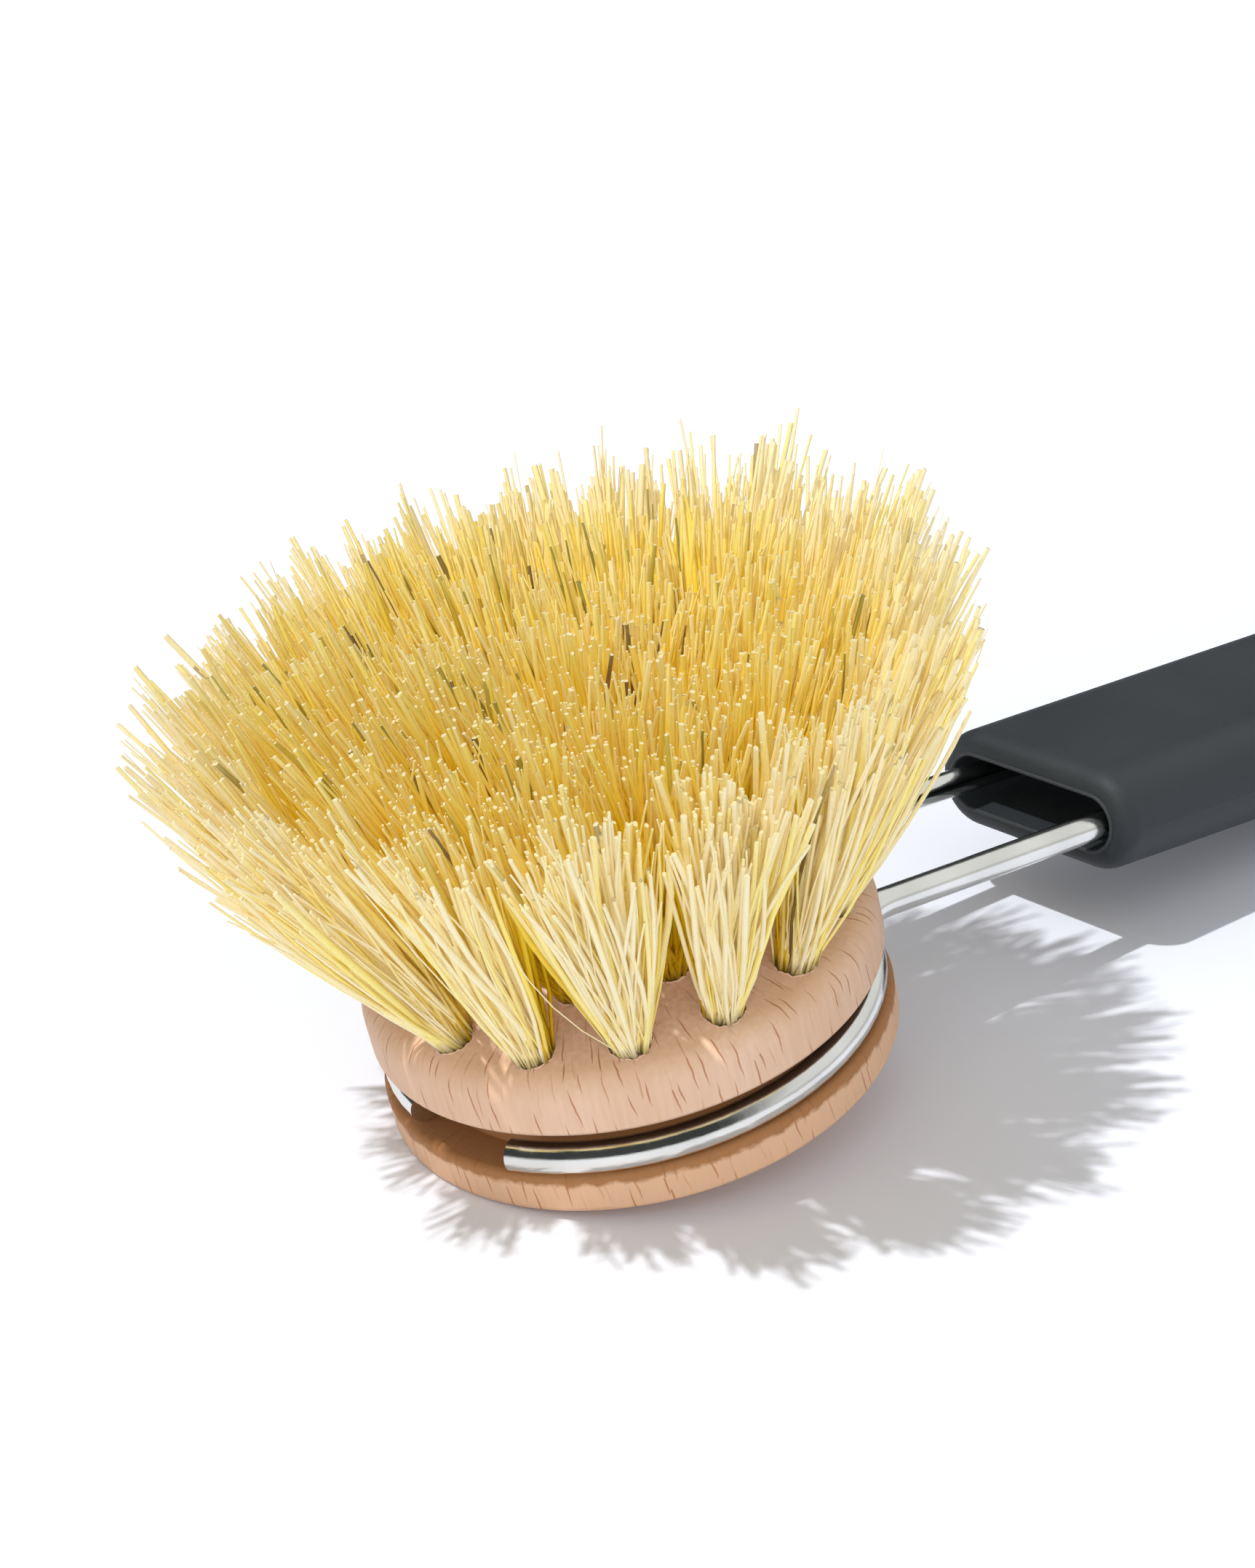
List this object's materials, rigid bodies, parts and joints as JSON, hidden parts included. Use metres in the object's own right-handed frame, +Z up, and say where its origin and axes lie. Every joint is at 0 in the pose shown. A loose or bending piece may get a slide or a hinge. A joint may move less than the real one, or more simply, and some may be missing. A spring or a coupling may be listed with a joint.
{
  "type": "dish brush",
  "caption": "Dish brush lying bristles up: round wooden head with fanned fibre tufts, clipped in a bent wire handle with a dark silicone grip and a hanging loop.",
  "frame": {"origin": "on the table, under the middle of the brush's length as it lies, bristles up, on the rim of its head and the tail of its grip", "axes": "+X along the length towards the hanging loop, +Z up from the table, +Y across"},
  "size_m": [0.2634, 0.0765, 0.055],
  "materials": {
    "beech": "turned, unfinished beech",
    "fibre": "stiff pale plant fibre",
    "steel_wire": "polished round wire",
    "silicone": "matt moulded silicone",
    "anchor_steel": "plain flat strip"
  },
  "bodies": {
    "handle": {"wire_handle": "steel_wire", "grip_sleeve": "silicone"},
    "head": {"wooden_head": "beech", "tuft_anchors": "anchor_steel", "tuft_centre": "fibre", "tuft_inner_01": "fibre", "tuft_inner_02": "fibre", "tuft_inner_03": "fibre", "tuft_inner_04": "fibre", "tuft_inner_05": "fibre", "tuft_middle_01": "fibre", "tuft_middle_02": "fibre", "tuft_middle_03": "fibre", "tuft_middle_04": "fibre", "tuft_middle_05": "fibre", "tuft_middle_06": "fibre", "tuft_middle_07": "fibre", "tuft_middle_08": "fibre", "tuft_middle_09": "fibre", "tuft_middle_10": "fibre", "tuft_outer_01": "fibre", "tuft_outer_02": "fibre", "tuft_outer_03": "fibre", "tuft_outer_04": "fibre", "tuft_outer_05": "fibre", "tuft_outer_06": "fibre", "tuft_outer_07": "fibre", "tuft_outer_08": "fibre", "tuft_outer_09": "fibre", "tuft_outer_10": "fibre", "tuft_outer_11": "fibre", "tuft_outer_12": "fibre", "tuft_outer_13": "fibre", "tuft_outer_14": "fibre", "tuft_outer_15": "fibre"}
  },
  "joints": [
    {"name": "head_spin", "type": "hinge", "parent": "handle", "child": "head", "pos_m": [-0.08535, 0, 0.00495], "axis": [-0.2031, 0, 0.9792], "continuous": true}
  ]
}
